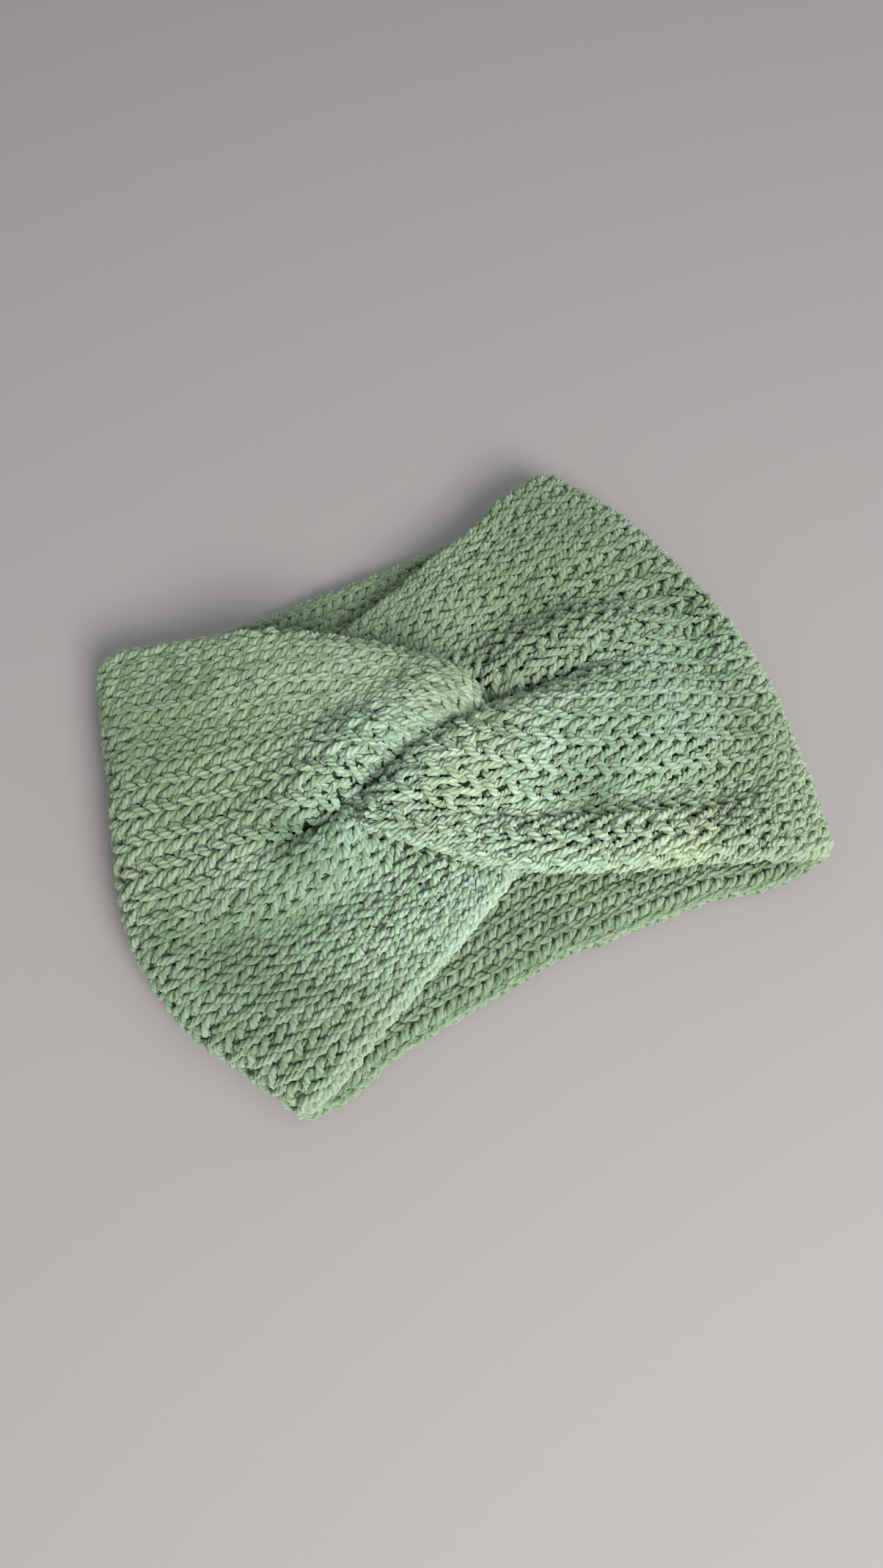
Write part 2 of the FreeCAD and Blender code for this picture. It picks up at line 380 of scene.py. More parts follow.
RIGHT_GUIDES = [
    (1.0, [(76, 75.5, 16), (63, 73.5, 15.5), (50, 68, 15), (33, 63.5, 14.5), (11, 56.5, 14.5),
           (-5, 51.5, 14.5), (-16, 46, 15)],
     [(-26, 36, 14.5)]),
    (0.75, [(88, 57, 16), (66, 55.5, 16.5), (40, 51, 16.5), (15, 45, 16), (-3, 39, 15.5)],
     [(-16, 30, 15)]),
    (0.51, [(93, 40, 16), (70, 40.5, 18), (45, 37, 18), (22, 33, 17), (5, 27, 16.5)], [(-6, 19, 15.5)]),
    (0.33, [(96, 23.5, 16), (75, 26, 18.5), (50, 25, 19.5), (28, 22.5, 19), (13, 18, 18)], [(5, 10, 15)]),
    (0.19, [(98, 8, 16), (85, 11, 18.5), (65, 14, 21.5), (45, 13, 22), (28, 10.5, 20.5)],
     [(18, 7, 15.5)]),
    (0.085, [(99, -3, 16), (82, 2.5, 19), (65, 5.5, 21), (50, 5.5, 20.5), (35, 6, 19.5)],
     [(27, 4.5, 15)]),
    (0.035, [(99, -8, 16), (80, -2, 18.5), (64, 1.5, 19)], [(53, 3, 15)]),
    (-0.035, [(98, -15, 16), (80, -8.5, 19), (64, -4.5, 21), (52, -1, 20.5)], [(44, 2, 15)]),
    (-0.12, [(98, -22, 16), (80, -15.5, 19), (60, -10.5, 22), (45, -6, 24), (35, -1.5, 22)],
     [(30, 3, 15)]),
    (-0.235, [(97, -31, 16), (78, -23, 19.5), (56, -16.5, 23), (36, -9.5, 26), (22, -2.5, 25.5)],
     [(18, 3, 16)]),
    (-0.375, [(95, -41, 16), (75, -33, 19.5), (50, -25, 24), (28, -17, 27), (12, -6.5, 28),
              (5.4, -2.5, 27)],
     [(2.6, 0.9, 16.5)]),
    (-0.53, [(93, -51, 16), (72, -42, 18.5), (46, -33, 22), (22, -24, 26), (5, -13.5, 28.5),
             (-6.8, -4.9, 28)],
     [(-10, -1.4, 16.5)]),
    (-0.7, [(90, -61, 16), (68, -51.5, 17.5), (42, -41.5, 20.5), (18, -32, 24.5), (-2, -20.5, 27.5),
            (-15.8, -7.9, 28)],
     [(-19, -4.4, 16.5)]),
    (-0.85, [(85, -70, 16), (62, -59.5, 18.5), (35, -49.5, 21.5), (10, -39.5, 24.5), (-12, -26.5, 27),
             (-25.8, -11.4, 27)],
     [(-29, -7.5, 16.5)]),
    (-1.0, [(80, -79, 17), (70, -74, 18.5), (55, -67, 20.5), (28, -56.5, 22.5), (10, -49, 24),
            (-9, -36.5, 25), (-21, -25, 25), (-32, -13, 24)],
     [(-37, -7, 18)]),
]
# Steps along a wale: over the back, round the bend, along the front and down into the knot
BACK_STEPS = 60
BEND_STEPS = 28
BODY_STEPS = 70
DOWN_STEPS = 14
BODY_FINE = 400     # samples of the curves that those steps are read from
DOWN_FINE = 60
BACK_STRAIGHT = 55  # how far from its middle the back's wales keep straight
ACROSS = np.linspace(-1, 1, 109)


def end_line(table, y):
    """Where a bent end starts to bend, at y."""
    ys, xs = zip(*table)
    x = np.interp(y, ys, xs)
    return x - np.sign(x) * FOLD_IN


def half(guides, end, side):
    """One half of the loop, from the middle of the back round the bent end and along its front.

    Returns the dense polyline of every wale, and the lengths along it at which its bend starts and ends,
    at which it can last be seen, and at which it stops.
    """
    bodies, downs = [], []
    guides = sorted(guides)
    for _, body, down in guides:
        body = np.array(body, float)
        body[0] = (end_line(end, body[0, 1]), body[0, 1], FOLD_Z)
        points = np.concatenate([body, np.array(down, float)])
        knots = lengths(points)
        last = knots[len(body) - 1]
        dense = smooth(knots, points, np.linspace(0, last, BODY_FINE))
        bodies.append(at_length(dense, np.linspace(0, lengths(dense)[-1], BODY_STEPS)))
        dense = smooth(knots, points, np.linspace(last, knots[-1], DOWN_FINE))
        downs.append(at_length(dense, np.linspace(0, lengths(dense)[-1], DOWN_STEPS)))
    places = [g[0] for g in guides]
    bodies = smooth(places, np.array(bodies), ACROSS)
    downs = smooth(places, np.array(downs), ACROSS)
    wales, marks = [], []
    for t, body, down in zip(ACROSS, bodies, downs):
        bend_x, bend_y = body[0, 0], body[0, 1]
        x = np.linspace(0, bend_x, BACK_STEPS)
        top = np.interp(x, *zip(*BACK_TOP))
        low = np.interp(x, *zip(*BACK_LOW))
        y = t * (top - low) / 2 + t * t * (top + low) / 2
        y += (bend_y - y) * step(np.abs(x), BACK_STRAIGHT, abs(bend_x))
        back = np.stack([x, y, np.full_like(x, BACK_Z)], axis=1)
        angle = np.linspace(-math.pi / 2, math.pi / 2, BEND_STEPS + 2)[1:-1]
        radius = (FOLD_Z - BACK_Z) / 2
        around = bend_x + side * radius * np.cos(angle)
        rising = BACK_Z + radius * (1 + np.sin(angle))
        bend = np.stack([around, np.full_like(angle, bend_y), rising], axis=1)
        line = np.concatenate([back, bend, body, down[1:]])
        run = lengths(line)
        front = BACK_STEPS + BEND_STEPS
        wales.append(line)
        marks.append((run[BACK_STEPS - 1], run[front], run[front - 1 + BODY_STEPS], run[-1]))
    return wales, np.array(marks)


left_wales, left_marks = half(LEFT_GUIDES, LEFT_END, -1)
right_wales, right_marks = half(RIGHT_GUIDES, RIGHT_END, 1)

# The height of a course along the band: least on the slack back and ends, most along the pulled rims in front
BACK_COURSE = 4.1
END_COURSE = 4.3
LEFT_COURSE = [(-1, 5.5), (-0.5, 5.7), (-0.25, 5.2), (0, 4.8), (0.5, 4.75), (1, 4.7)]
RIGHT_COURSE = [(-1, 6.7), (-0.85, 6.3), (-0.55, 5.6), (-0.2, 5.3), (0, 5.6), (0.3, 6.3), (0.5, 6.3),
                (1, 5.7)]
END_EASE = (-15, 0)     # between which lengths from a bend's start the courses take the end's height
FRONT_EASE = (-6, 26)   # and from its end, the front's height
RUN_STEP = 0.5
DENSE_RUN = np.arange(0, 330, RUN_STEP)


def course_table(marks, front):
    """How many courses there are up to each length along each wale."""
    heights = np.interp(ACROSS, *zip(*front))
    counts = []
    for (bend, bend_end, _, _), height in zip(marks, heights):
        to_end = step(DENSE_RUN, bend + END_EASE[0], bend + END_EASE[1])
        to_front = step(DENSE_RUN, bend_end + FRONT_EASE[0], bend_end + FRONT_EASE[1])
        local = BACK_COURSE + (END_COURSE - BACK_COURSE) * to_end
        local = local + (height - END_COURSE) * to_front
        counts.append(np.concatenate([[0], np.cumsum(RUN_STEP / local[:-1])]))
    return np.array(counts)


LEFT_COUNT = course_table(left_marks, LEFT_COURSE)
RIGHT_COUNT = course_table(right_marks, RIGHT_COURSE)


def last_course(counts, marks):
    return int(max(np.interp(m, DENSE_RUN, c) for m, c in zip(marks[:, 3], counts))) + 3


COURSES_LEFT = last_course(LEFT_COUNT, left_marks)
COURSES_RIGHT = last_course(RIGHT_COUNT, right_marks)
PER_COURSE = 5
PER_WALE = 4
COURSE_AT = np.arange(-COURSES_LEFT * PER_COURSE, COURSES_RIGHT * PER_COURSE + 1) / PER_COURSE
ON_LEFT = COURSE_AT < 0
RUN = np.stack(
    [np.where(ON_LEFT, np.interp(-COURSE_AT, a, DENSE_RUN), np.interp(COURSE_AT, b, DENSE_RUN))
     for a, b in zip(LEFT_COUNT, RIGHT_COUNT)],
    axis=1,
)
BEND_END = np.where(ON_LEFT[:, None], left_marks[None, :, 1], right_marks[None, :, 1])


SMOOTH_ALONG = 5    # rounds of smoothing of the middle surface, and of its outward directions
SMOOTH_ACROSS = 3
SMOOTH_OUT = 3


def middle_surface():
    """Points of the middle surface, by course and by place across."""
    grid = np.zeros((len(COURSE_AT), len(ACROSS), 3))
    for j in range(len(ACROSS)):
        grid[ON_LEFT, j] = at_length(left_wales[j], RUN[ON_LEFT, j])
        grid[~ON_LEFT, j] = at_length(right_wales[j], RUN[~ON_LEFT, j])
    for _ in range(SMOOTH_ALONG):
        grid[1:-1] = (grid[:-2] + 2 * grid[1:-1] + grid[2:]) / 4
    for _ in range(SMOOTH_ACROSS):
        grid[:, 1:-1] = (grid[:, :-2] + 2 * grid[:, 1:-1] + grid[:, 2:]) / 4
    return grid


# Folds and hollows of the front: the line each follows in plan, its half width, its height, and which half
RELIEF = [
    ("left", [(-66, -10.5), (-61, -9), (-54, -7), (-45, -5), (-38, -3)], 3.0, -1.8),
    ("left", [(-68, -8), (-60, -4), (-48, 1), (-34, 5), (-22, 8), (-7, 12), (8, 12)], 6.0, 3.4),
    ("left", [(-74, -18.5), (-61, -18.5), (-51, -17.5), (-42, -15)], 4.5, 3.8),
    ("left", [(-90, -24), (-77, -26), (-66, -29), (-54, -31), (-38, -31)], 6.5, -3.2),
    ("left", [(-86, 45), (-64, 39), (-48, 33), (-34, 29), (-21, 26), (-8, 22)], 6.5, -2.4),
    ("left", [(-41, 54), (-24, 40), (-9, 27), (2, 17)], 5.5, 1.4),
    ("right", [(16, 8), (29, 4.5), (39, 3.5), (50, 2.5), (60, 1)], 2.4, -0.6),
    ("right", [(0, -28), (8, -31), (28, -37.5), (40, -40.5), (54, -45), (68, -52)], 5.0, -4.0),
    ("right", [(-25, -16), (-16, -27), (2, -40), (32, -51), (53, -59), (74, -70)], 5.5, 2.0),
    ("right", [(8, 35), (25, 33), (39, 32), (53, 31), (67, 28), (80, 21), (88, 10), (90, -5)], 9.0, -4.0),
    ("right", [(35, 15), (50, 14), (65, 11.5), (76, 8)], 6.0, 1.8),
    ("right", [(90, -5), (87, -25), (81, -41), (76, -52)], 7.0, -2.0),
    ("right", [(-8, -14), (12, -15), (35, -16), (58, -15)], 11.0, 3.4),
]


def relief():
    """Height of the folds at every point of the front's middle surface."""
    height = np.zeros(MIDDLE.shape[:2])
    front = step(RUN, BEND_END - 4, BEND_END + 10)
    for half_name, line, width, rise in RELIEF:
        line = np.array(line, float)
        fine = smooth(lengths(line), line, np.linspace(0, lengths(line)[-1], 40))
        own = ON_LEFT if half_name == "left" else ~ON_LEFT
        plan = MIDDLE[own][..., :2]
        near = np.min(((plan[:, :, None, :] - fine[None, None]) ** 2).sum(-1), axis=2)
        height[own] += rise * np.exp(-near / (2 * width**2)) * front[own]
    return height


def unit(v):
    return v / np.maximum(np.linalg.norm(v, axis=-1, keepdims=True), 1e-9)


MIDDLE = middle_surface()
MIDDLE[..., 2] += relief()
ALONG = unit(np.gradient(MIDDLE, axis=0))
CROSS = unit(np.gradient(MIDDLE, axis=1))
OUT = unit(np.cross(CROSS, ALONG))
for _ in range(SMOOTH_OUT):
    OUT[1:-1] = unit(OUT[:-2] + 2 * OUT[1:-1] + OUT[2:])
    OUT[:, 1:-1] = unit(OUT[:, :-2] + 2 * OUT[:, 1:-1] + OUT[:, 2:])

ROLL_FROM = 0.80    # the place across past which a rim swells, and how much its half thickness gains
ROLL_SWELL = 1.5
LAYER = 2.35        # from the middle surface to the middle of either layer
RIM_WALES = 1.6     # the share of the tube's wales that turn round each edge
# How many wales roll under each rim on the way to the knot, from where past the bend and to where
TOP_ROLL = {"left": (1.5, 20, 80), "right": (2.0, 15, 90)}
LOW_ROLL = {"left": (2.5, 35, 120), "right": (2.3, -5, 35)}
TOP_FROM = 0.35     # the places across between which the wales keep to their guides
LOW_FROM = -0.35


def half_thickness():
    """The tube is flat, but its rims swell where they roll over at the knot."""
    t = ACROSS[None, :]
    on_left = ON_LEFT[:, None]
    left_roll = step(t, ROLL_FROM, 1.0) * step(RUN - BEND_END, 15, 60) * on_left
    right_roll = step(-t, ROLL_FROM, 1.0) * step(RUN - BEND_END, 10, 50) * ~on_left
    return LAYER + ROLL_SWELL * (left_roll + right_roll)


THICK = half_thickness()


def rolled(rolls, j):
    """How many wales have rolled under a rim at each course."""
    past = RUN[:, j] - BEND_END[:, j]
    left, right = (count * step(past, low, high) for count, low, high in (rolls["left"], rolls["right"]))
    return np.where(ON_LEFT, left, right)


TOP_ROLLED = rolled(TOP_ROLL, -1)
LOW_ROLLED = rolled(LOW_ROLL, 0)
WALE_AT = np.arange(0, WALES * PER_WALE + 1) / PER_WALE


def round_the_tube(w):
    """Where wale w runs at each course: its place across, and how far round the rim it has turned."""
    lo = RIM_WALES / 2 + LOW_ROLLED
    hi = WALES_OPEN - RIM_WALES / 2 - TOP_ROLLED
    w = np.where(w < lo, w + WALES, w)
    inner = WALES + lo - RIM_WALES
    per_t = (WALES_OPEN - RIM_WALES) / 2
    high_mark = WALES_OPEN / 2 + TOP_FROM * per_t
    low_mark = WALES_OPEN / 2 + LOW_FROM * per_t
    t = (w - WALES_OPEN / 2) / per_t
    t = np.where(w > high_mark, TOP_FROM + (w - high_mark) / (hi - high_mark) * (1 - TOP_FROM), t)
    t = np.where(w < low_mark, LOW_FROM - (low_mark - w) / (low_mark - lo) * (1 + LOW_FROM), t)
    t = np.where(w <= hi, t, 1.0)
    under = 1 - 2 * (w - hi - RIM_WALES) / (inner - hi - RIM_WALES)
    t = np.where((w > hi + RIM_WALES) & (w < inner), under, t)
    t = np.where(w >= inner, -1.0, t)
    turn = np.where(w <= hi, 0.0, np.minimum((w - hi) / RIM_WALES, 1.0))
    turn = np.where(w >= inner, np.maximum(1 - (w - inner) / RIM_WALES, 0.0), turn)
    return t, turn * math.pi


def tube_surface():
    """The tube's own surface by course and wale: points and outward directions."""
    points, outward = [], []
    rows = np.arange(len(COURSE_AT))
    for w in WALE_AT:
        t, turn = round_the_tube(w)
        j = (t + 1) / 2 * (len(ACROSS) - 1)
        lo = np.minimum(j.astype(int), len(ACROSS) - 2)
        f = (j - lo)[:, None]
        mid = MIDDLE[rows, lo] * (1 - f) + MIDDLE[rows, lo + 1] * f
        out = unit(OUT[rows, lo] * (1 - f) + OUT[rows, lo + 1] * f)
        side = unit(CROSS[rows, lo] * (1 - f) + CROSS[rows, lo + 1] * f) * np.sign(t)[:, None]
        thick = THICK[rows, lo][:, None] * (1 - f) + THICK[rows, lo + 1][:, None] * f
        direction = np.cos(turn)[:, None] * out + np.sin(turn)[:, None] * side
        points.append(mid + thick * direction)
        outward.append(direction)
    return np.stack(points, axis=1), np.stack(outward, axis=1)


SURFACE, OUTWARD = tube_surface()


def look_up(wale, course):
    """Bilinear reading of the tube's surface."""
    i = np.clip((course - COURSE_AT[0]) * PER_COURSE, 0, len(COURSE_AT) - 1.001)
    j = (wale % WALES) * PER_WALE
    i0, j0 = i.astype(int), np.minimum(j.astype(int), WALES * PER_WALE - 1)
    a, b = (i - i0)[..., None], (j - j0)[..., None]

    def read(grid):
        return (
            grid[i0, j0] * (1 - a) * (1 - b)
            + grid[i0 + 1, j0] * a * (1 - b)
            + grid[i0, j0 + 1] * (1 - a) * b
            + grid[i0 + 1, j0 + 1] * a * b
        )

    return read(SURFACE), unit(read(OUTWARD))


# ---------------------------------------------------------------- stitches
YARN = 1.25         # the yarn's radius, and what share of it the thinnest yarn has and the thickest adds
YARN_LEAST = 0.93
YARN_SPREAD = 0.14
# Half a loop, from the yarn between two wales to the top of the loop: across in wales, along in courses,
# outward in yarn radii
HALF_LOOP = [
    (-0.50, -0.16, -1.00),
    (-0.25, -0.10, -0.75),
    (-0.09, 0.12, -0.10),
    (-0.13, 0.44, 0.70),
    (-0.27, 0.84, 0.95),
    (-0.42, 1.20, 0.50),
    (-0.34, 1.50, -0.60),
    (0.00, 1.64, -1.10),
]
LOOP = np.array(HALF_LOOP + [(-x, y, z) for x, y, z in HALF_LOOP[-2:0:-1]])
COURSES = COURSES_LEFT + COURSES_RIGHT
JITTER = rng.normal(0, 1, (COURSES + 8, WALES, len(LOOP), 3)) * np.array([0.028, 0.045, 0.12])
SWING = rng.normal(0, 1, (COURSES + 8, WALES, 3)) * np.array([0.030, 0.045, 0.10])
JITTER[:, :, 0] = 0


def soft_noise(count, period, seed):
    """A smooth random line of values from 0 to 1."""
    r = np.random.RandomState(seed)
    n = int(count / period) + 4
    return np.clip(smooth(np.arange(n), r.rand(n), np.arange(count) / period), 0, 1)


# Waves along the yarn. The second value is a wave's period, in stitches
LONG = soft_noise((COURSES + 9) * WALES, 31.0, 3)
MEDIUM = soft_noise((COURSES + 9) * WALES, 7.0, 4)
SHORT = soft_noise((COURSES + 9) * WALES, 2.3, 5)
# Where mint and olive stretches of the yarn came out together, as (x, y, size, strength)
MINT_PATCHES = [
    (66, -18, 17, 0.95), (30, -22, 13, 0.45), (-18, 6, 14, 0.7), (-44, -15, 12, 0.8), (-20, -48, 17, 0.6),
    (-95, -40, 14, 0.35), (20, 52, 12, 0.3), (-60, -30, 14, 0.4), (98, -5, 12, 0.35), (0, -76, 30, 0.4),
]
OLIVE_PATCHES = [
    (-60, 45, 24, 0.5), (0, 12, 8, 0.4), (-10, -28, 14, 0.5), (60, 40, 20, 0.4), (20, 62, 16, 0.35),
    (90, -50, 18, 0.35), (-75, 10, 18, 0.35), (45, -60, 16, 0.4),
]
# Painted shade, as (x, y, size, strength), where the front's pit, creases, hollows and the slopes turned from
# the key light lie in shade, and below zero painted light on its lit rims and domes
PAINTED_SHADE_AND_LIGHT_PATCHES = [
    (74, 60, 21, 0.44), (92, 15, 18, 0.22), (10, 52, 14, 0.36), (45, 30, 12, 0.25), (90, -42, 14, 0.22),
    (-82, 46, 18, 0.36), (-38, 24, 12, 0.12), (-82, -30, 18, 0.37), (-52, -14, 9, 0.20), (-76, -60, 14, 0.12),
    (30, -37, 8, 0.55), (-56, -8, 6, 0.35),
    (2, -25, 25, -0.46), (46, -58, 14, -0.40), (10, -46, 14, -0.35), (-33, 2, 13, -0.34),
    (-71, -11, 9, -0.30), (-40, -47, 11, -0.26),
]
# Each tint's share away from its patches, and how much the yarn's own waves add
MINT_BASE, MINT_WAVE = -0.05, 0.22
OLIVE_BASE, OLIVE_WAVE = 0.05, 0.25
FRONT_FROM, FRONT_TO = 6, 13    # the heights between which the back's tints become the front's
DARK_FRONT = 0.36       # the dark share on the front, and the painted shade that the back and the inside have on top, where they lie low under the front
BACK_PAINTED_SHADE = 0.27
DARK_WAVE = 0.10
DARK_SPECK = 0.2
DARK_MOST = 0.8


def tints(points, place):
    """Mint, olive and dark shares of the yarn at points, from where it lies and from its own length. The dark
    share holds painted shade and painted light as well as the yarn's own darker stretches.
    """
    front = step(points[:, 2], FRONT_FROM, FRONT_TO)

    def patches(table):
        total = np.zeros(len(points))
        for x, y, size, strength in table:
            away = (points[:, 0] - x) ** 2 + (points[:, 1] - y) ** 2
            total += strength * np.exp(-away / (2 * size**2))
        return total

    here = np.clip(place, 0, len(LONG) - 2)
    lo = here.astype(int)
    f = here - lo
    wave = [a[lo] * (1 - f) + a[lo + 1] * f for a in (LONG, MEDIUM, SHORT)]
    mint = patches(MINT_PATCHES) * front + MINT_WAVE * wave[0] + MINT_BASE
    mint = np.clip(mint * (0.75 + 0.5 * wave[2]), 0, 1)
    olive = patches(OLIVE_PATCHES) * front + OLIVE_WAVE * wave[1] + OLIVE_BASE
    olive = np.clip(olive * (0.5 + wave[2]) * (1 - mint), 0, 1)
    # The dark share: the front's base, with painted shade and painted light from the patches, and painted
    # shade on the back and the inside, which lie low under the front
    dark = DARK_FRONT + patches(PAINTED_SHADE_AND_LIGHT_PATCHES) * front + BACK_PAINTED_SHADE * (1 - front)
    specks = step(-wave[2], -0.3, -0.1)
    dark = np.clip(dark + (1 - wave[1]) * (1 - wave[0]) * DARK_WAVE + DARK_SPECK * specks, 0, DARK_MOST)
    return np.stack([mint, olive, dark, np.ones(len(points))], axis=1)


def loops_of(course, first, last):
    """Control points of the loops in wales first to last of one course, as wale, course and height."""
    made = []
    for w in range(first, last):
        loop = LOOP.copy()
        row = course + COURSES_LEFT
        loop += JITTER[row, w % WALES]
        sway = SWING[row, w % WALES]
        loop[1:, 0] += sway[0]
        loop[1:, 1] += sway[1]
        loop[3:6, 2] += sway[2]
        loop[-5:-2, 2] += sway[2]
        loop[:, 0] += w + 0.5
        loop[:, 1] += course
        made.append(loop)
    return np.concatenate(made)


def through(points, finer):
    """Samples of the smooth curve through evenly weighted points, finer samples for each."""
    before, after = points[:-3], points[3:]
    a, b = points[1:-2], points[2:-1]
    rows = []
    for u in np.arange(finer) / finer:
        rows.append(
            0.5 * (2 * a + (b - before) * u + (2 * before - 5 * a + 4 * b - after) * u**2
                   + (3 * a - before - 3 * b + after) * u**3)
        )
    return np.stack(rows, axis=1).reshape(-1, points.shape[1])


TWIST_DRIFT = 0.5   # how unevenly the yarn is twisted, in radians, and how fast that changes along it
TWIST_WAVE = 0.23
# The margins that keep the cells of the bake apart, along the yarn, round it and at its cut ends
BAKE_ALONG = (0.94, 0.03)
BAKE_ROUND = (0.88, 0.06)
BAKE_ENDS = (0.02, 0.98)


def tube_mesh(name, tubes, sides, material, plies=0.0):
    """One mesh of several tubes.

    Each is its samples, reference directions, radii, tints and samples per cell of the bake.
    """
    points, colours, loops, starts, uv, bake = [], [], [], [], [], []
    angle = np.arange(sides) * 2 * math.pi / sides
    cells = sum(max(1, -(-(len(t[0]) - 1) // t[4])) for t in tubes)
    wide = max(1, int(math.sqrt(cells / 2.0) + 0.999))
    high = -(-cells // wide)
    base, cell, loop_count = 0, 0, 0
    for seed, (centres, outward, radius, shade, per_cell) in enumerate(tubes):
        n = len(centres)
        tangent = unit(np.gradient(centres, axis=0))
        side = unit(np.cross(tangent, outward))
        up = np.cross(side, tangent)
        run = lengths(centres)
        turned = 2 * math.pi * run[:, None] / (PLIES * PLY_PITCH)
        turned = turned + TWIST_DRIFT * np.sin(TWIST_WAVE * run[:, None] + seed)
        turned = angle[None, :] + (turned if plies else 0)
        swell = 1 + plies * np.cos(PLIES * angle[None, :])
        ring = centres[:, None] + (radius[:, None] * swell)[..., None] * (
            np.cos(turned)[..., None] * side[:, None] + np.sin(turned)[..., None] * up[:, None]
        )
        points.append(ring.reshape(-1, 3))
        colours.append(np.repeat(shade, sides, axis=0))
        i, j = np.meshgrid(np.arange(n - 1), np.arange(sides), indexing="ij")
        k = (j + 1) % sides
        corners = [i * sides + j, (i + 1) * sides + j, (i + 1) * sides + k, i * sides + k]
        quads = np.stack(corners, axis=-1) + base
        loops.append(quads.reshape(-1))
        starts.append(loop_count + 4 * np.arange(quads.shape[0] * quads.shape[1]))
        ui = np.stack([run[i], run[i + 1], run[i + 1], run[i]], axis=-1) / YARN_UV
        vj = np.stack([j, j, j + 1, j + 1], axis=-1) / sides
        twist = 0.0 if plies else ui * YARN_UV / (PLIES * PLY_PITCH)
        uv.append(np.stack([ui, vj - twist], axis=-1).reshape(-1, 2))
        own = cell + i // per_cell
        first = (i - (i // per_cell) * per_cell) / per_cell
        bu = np.stack([first, first + 1 / per_cell, first + 1 / per_cell, first], axis=-1)
        bu = ((own % wide)[..., None] + bu * BAKE_ALONG[0] + BAKE_ALONG[1]) / wide
        bv = ((own // wide)[..., None] + vj * BAKE_ROUND[0] + BAKE_ROUND[1]) / high
        bake.append(np.stack([bu, bv], axis=-1).reshape(-1, 2))
        loop_count += quads.size
        for cap in (np.arange(sides), np.arange(sides)[::-1] + (n - 1) * sides):
            loops.append(cap + base)
            starts.append(np.array([loop_count]))
            at = 0 if cap[0] == 0 else n - 1
            uv.append(np.tile([run[at] / YARN_UV, 0.5], (sides, 1)))
            own_cell = cell if at == 0 else cell + (n - 2) // per_cell
            edge = BAKE_ENDS[0] if at == 0 else BAKE_ENDS[1]
            spot = [((own_cell % wide) + edge) / wide, ((own_cell // wide) + 0.5) / high]
            bake.append(np.tile(spot, (sides, 1)))
            loop_count += sides
        base += n * sides
        cell += max(1, -(-(n - 1) // per_cell))
    mesh = bpy.data.meshes.new(name)
    points = np.concatenate(points) * MM
    starts = np.concatenate(starts)
    mesh.vertices.add(len(points))
    mesh.vertices.foreach_set("co", points.ravel().astype(np.float32))
    mesh.loops.add(loop_count)
    mesh.loops.foreach_set("vertex_index", np.concatenate(loops).astype(np.int32))
    mesh.polygons.add(len(starts))
    mesh.polygons.foreach_set("loop_start", starts.astype(np.int32))
    mesh.update(calc_edges=True)
    for layer, values in (("OFBake", bake), ("yarn", uv)):
        mesh.uv_layers.new(name=layer)
        mesh.uv_layers[layer].data.foreach_set("uv", np.concatenate(values).ravel().astype(np.float32))
    shade = mesh.color_attributes.new(name="shade", type="FLOAT_COLOR", domain="POINT")
    shade.data.foreach_set("color", np.concatenate(colours).ravel().astype(np.float32))
    mesh.polygons.foreach_set("use_smooth", np.ones(len(starts), bool))
    mesh.materials.append(material)
    mesh.validate()
    obj = bpy.data.objects.new(name, mesh)
    scene.collection.objects.link(obj)
    return obj


# ---------------------------------------------------------------- which piece each stitch belongs to
SPLIT_LEFT = -0.03      # the place across that parts the two pieces of each half of the front
SPLIT_RIGHT = 0.0
OUTER_TURN = 0.6 * math.pi      # how far round the rim the outer layer reaches
TOP_RIM = {True: 0.97, False: 0.62}     # past which place the back's rims start, on its outer layer and not
LOW_RIM = {True: -0.97, False: -0.60}
OUTER_SPARE = 1.0       # how far before its end a wale's outer and inner layers stop
INNER_SPARE = 4.0
PLACES = [round_the_tube(w + 0.5) for w in range(WALES)]


def piece_of(course, w):
    """The name of the piece that holds one stitch, or None where it is hidden in the knot."""
    at = int(round((course + 0.5 - COURSE_AT[0]) * PER_COURSE))
    t, turn = (float(a[at]) for a in PLACES[w])
    outer = turn < OUTER_TURN
    j = int(round((t + 1) / 2 * (len(ACROSS) - 1)))
    bend, front, seen, ends = (right_marks if course >= 0 else left_marks)[j]
    run = RUN[at, j]
    side = "right" if course >= 0 else "left"
    if run < bend:
        if t > TOP_RIM[outer]:
            return "back_top_rim_knit"
        if t < LOW_RIM[outer]:
            return "back_low_rim_knit"
        return "back_outer_knit" if outer else "back_inner_knit"
    if run < front:
        return side + ("_end_knit" if outer else "_end_inner_knit")
    if outer:
        if run > ends - OUTER_SPARE:
            return None
        if side == "left":
            return "upper_left_lobe_knit" if t > SPLIT_LEFT else "lower_left_wing_knit"
        return "upper_right_wing_knit" if t > SPLIT_RIGHT else "lower_right_lobe_knit"
    if run > seen - INNER_SPARE:
        return None
    return side + "_half_inner_knit"


# The pieces whose plies are geometry. The others have rounder, plainer yarn
FINE = {"upper_left_lobe_knit", "lower_left_wing_knit", "upper_right_wing_knit", "lower_right_lobe_knit",
        "left_end_knit", "right_end_knit", "back_top_rim_knit", "back_low_rim_knit"}

runs = {}
for course in range(-COURSES_LEFT + 1, COURSES_RIGHT - 1):
    w = 0
    while w < WALES:
        name = piece_of(course, w)
        stop = w + 1
        while stop < WALES and piece_of(course, stop) == name:
            stop += 1
        if name:
            runs.setdefault(name, []).append((course, w, stop))
        w = stop

